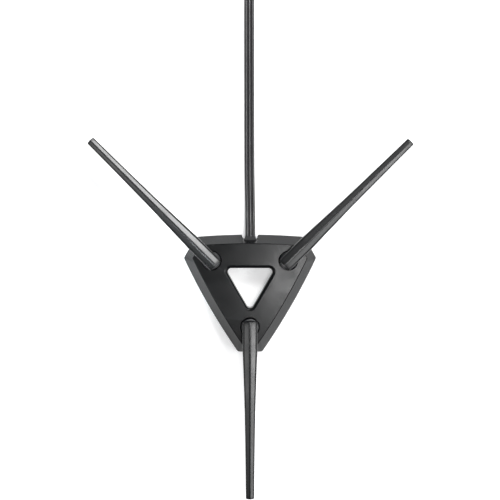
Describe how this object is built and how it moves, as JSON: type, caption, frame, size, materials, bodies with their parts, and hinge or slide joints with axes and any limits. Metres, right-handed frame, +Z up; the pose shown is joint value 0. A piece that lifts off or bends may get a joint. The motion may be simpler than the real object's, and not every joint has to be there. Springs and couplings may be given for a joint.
{
  "type": "three-blade antenna dock",
  "caption": "Tabletop antenna dock: three-cornered base with through hole, fold-down swivelling blades on threaded collars, and a flat triple coaxial lead.",
  "frame": {"origin": "middle of the base's underside, on the surface it stands on", "axes": "+Z up, +Y towards the side where the lead leaves, front antenna towards -Y"},
  "size_m": [0.2947, 0.5866, 0.0355],
  "materials": {
    "satin_black_plastic": "satin, fine grain",
    "black_plastic": "matt",
    "knurled_plastic": "satin",
    "pad_rubber": "matt",
    "grommet_rubber": "matt",
    "lead_jacket": "satin jacket",
    "feed_jacket": "translucent brown jacket",
    "tie_nylon": "woven",
    "magnet_nickel": "nickel plated",
    "zinc_steel": "zinc plated",
    "gold_brass": "gold plated brass",
    "crimp_metal": "nickel plated",
    "ptfe_white": "PTFE",
    "board_green": "printed board with copper strip"
  },
  "bodies": {
    "base": {"top_shell": "satin_black_plastic", "bottom_cover": "black_plastic", "foot_pad": "pad_rubber", "magnets": "magnet_nickel", "housing_screws": "zinc_steel", "cable_grommet": "grommet_rubber", "cable_clamp": "black_plastic", "clamp_screws": "zinc_steel", "inner_coax": "lead_jacket", "jack_bodies": "gold_brass", "jack_insulators": "ptfe_white", "jack_pins": "gold_brass", "jack_washers": "gold_brass", "jack_nuts": "gold_brass", "lead_run": "lead_jacket", "lead_coil": "lead_jacket", "lead_coil_tie": "tie_nylon", "lead_splitter": "grommet_rubber", "lead_tails": "lead_jacket", "lead_plug_bodies": "gold_brass", "lead_plug_insulators": "ptfe_white", "lead_plug_sockets": "gold_brass", "lead_crimp_sleeves": "crimp_metal"},
    "front_plug": {"front_plug_body": "gold_brass", "front_plug_insulator": "ptfe_white", "front_plug_socket": "gold_brass", "front_feed_coax": "feed_jacket"},
    "front_collar_and_nut": {"front_collar": "knurled_plastic", "front_coupling_nut": "gold_brass"},
    "front_swivel": {"front_knuckle": "knurled_plastic"},
    "front_blade": {"front_hinge_pin": "zinc_steel", "front_blade_top_shell": "satin_black_plastic", "front_blade_bottom_cover": "satin_black_plastic", "front_radiator_board": "board_green"},
    "right_plug": {"right_plug_body": "gold_brass", "right_plug_insulator": "ptfe_white", "right_plug_socket": "gold_brass", "right_feed_coax": "feed_jacket"},
    "right_collar_and_nut": {"right_collar": "knurled_plastic", "right_coupling_nut": "gold_brass"},
    "right_swivel": {"right_knuckle": "knurled_plastic"},
    "right_blade": {"right_hinge_pin": "zinc_steel", "right_blade_top_shell": "satin_black_plastic", "right_blade_bottom_cover": "satin_black_plastic", "right_radiator_board": "board_green"},
    "left_plug": {"left_plug_body": "gold_brass", "left_plug_insulator": "ptfe_white", "left_plug_socket": "gold_brass", "left_feed_coax": "feed_jacket"},
    "left_collar_and_nut": {"left_collar": "knurled_plastic", "left_coupling_nut": "gold_brass"},
    "left_swivel": {"left_knuckle": "knurled_plastic"},
    "left_blade": {"left_hinge_pin": "zinc_steel", "left_blade_top_shell": "satin_black_plastic", "left_blade_bottom_cover": "satin_black_plastic", "left_radiator_board": "board_green"},
    "lead_nut_1": {"lead_plug_nut_1": "gold_brass"},
    "lead_nut_2": {"lead_plug_nut_2": "gold_brass"},
    "lead_nut_3": {"lead_plug_nut_3": "gold_brass"}
  },
  "joints": [
    {"name": "front_plug_rise", "type": "slide", "parent": "base", "child": "front_plug", "axis": [0, 0, 1], "range_m": [0, 0.00423]},
    {"name": "front_collar_turn", "type": "hinge", "parent": "front_plug", "child": "front_collar_and_nut", "pos_m": [0, -0.0406, 0.0168], "axis": [0, 0, 1], "range_deg": [0, 2160]},
    {"name": "front_swivel_turn", "type": "hinge", "parent": "front_plug", "child": "front_swivel", "pos_m": [0, -0.0406, 0.0215], "axis": [0, 0, 1], "range_deg": [-70, 70]},
    {"name": "front_blade_tilt", "type": "hinge", "parent": "front_swivel", "child": "front_blade", "pos_m": [0, -0.0406, 0.03], "axis": [-1, 0, 0], "range_deg": [0, 90]},
    {"name": "right_plug_rise", "type": "slide", "parent": "base", "child": "right_plug", "axis": [0, 0, 1], "range_m": [0, 0.00423]},
    {"name": "right_collar_turn", "type": "hinge", "parent": "right_plug", "child": "right_collar_and_nut", "pos_m": [0.03516, 0.0203, 0.0168], "axis": [0, 0, 1], "range_deg": [0, 2160]},
    {"name": "right_swivel_turn", "type": "hinge", "parent": "right_plug", "child": "right_swivel", "pos_m": [0.03516, 0.0203, 0.0215], "axis": [0, 0, 1], "range_deg": [-84, 55]},
    {"name": "right_blade_tilt", "type": "hinge", "parent": "right_swivel", "child": "right_blade", "pos_m": [0.03516, 0.0203, 0.03], "axis": [0.6997, -0.7145, 0], "range_deg": [0, 90]},
    {"name": "left_plug_rise", "type": "slide", "parent": "base", "child": "left_plug", "axis": [0, 0, 1], "range_m": [0, 0.00423]},
    {"name": "left_collar_turn", "type": "hinge", "parent": "left_plug", "child": "left_collar_and_nut", "pos_m": [-0.03516, 0.0203, 0.0168], "axis": [0, 0, 1], "range_deg": [0, 2160]},
    {"name": "left_swivel_turn", "type": "hinge", "parent": "left_plug", "child": "left_swivel", "pos_m": [-0.03516, 0.0203, 0.0215], "axis": [0, 0, 1], "range_deg": [-55, 84]},
    {"name": "left_blade_tilt", "type": "hinge", "parent": "left_swivel", "child": "left_blade", "pos_m": [-0.03516, 0.0203, 0.03], "axis": [0.7059, 0.7083, 0], "range_deg": [0, 90]},
    {"name": "lead_nut_1_turn", "type": "hinge", "parent": "base", "child": "lead_nut_1", "pos_m": [0.06638, 0.30602, 0.00475], "axis": [-0.2588, -0.9659, 0], "continuous": true},
    {"name": "lead_nut_2_turn", "type": "hinge", "parent": "base", "child": "lead_nut_2", "pos_m": [0.07604, 0.30343, 0.00475], "axis": [-0.2588, -0.9659, 0], "continuous": true},
    {"name": "lead_nut_3_turn", "type": "hinge", "parent": "base", "child": "lead_nut_3", "pos_m": [0.0857, 0.30084, 0.00475], "axis": [-0.2588, -0.9659, 0], "continuous": true}
  ],
  "couplings": [
    {"joint": "front_collar_turn", "follows": "front_plug_rise", "rad_per_m": 8904.7},
    {"joint": "right_collar_turn", "follows": "right_plug_rise", "rad_per_m": 8904.7},
    {"joint": "left_collar_turn", "follows": "left_plug_rise", "rad_per_m": 8904.7}
  ]
}
